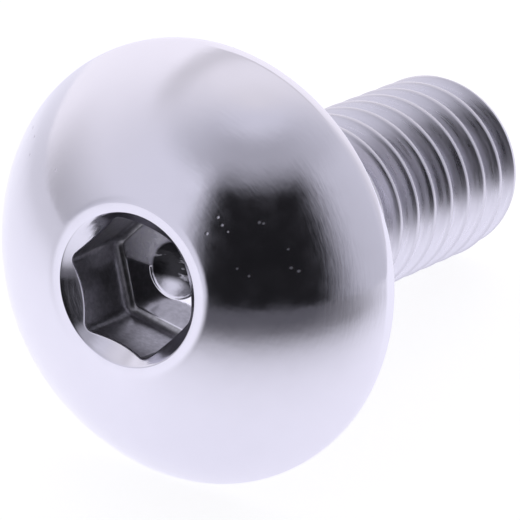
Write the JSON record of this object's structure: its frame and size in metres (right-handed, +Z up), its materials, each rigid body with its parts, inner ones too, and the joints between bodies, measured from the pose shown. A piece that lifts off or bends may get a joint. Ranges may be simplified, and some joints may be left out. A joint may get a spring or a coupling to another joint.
{
  "type": "button head screw",
  "caption": "Button head screw with a wide low dome, hexagon socket and fully threaded metric shank, lying on its side.",
  "frame": {"origin": "centre of the flat bearing face under the head, on the screw's axis", "axes": "the screw lies at rest on the rim of its head and on its last full thread; +Z is up from the ground, the screw's axis lies in the XZ plane, the threaded end points to +X and 15.06 degrees down, and the head faces -X and 15.06 degrees up"},
  "size_m": [0.0131, 0.009, 0.0087],
  "materials": {
    "bright_steel": "polished"
  },
  "bodies": {
    "root": {"button_head_screw": "bright_steel"}
  },
  "joints": []
}
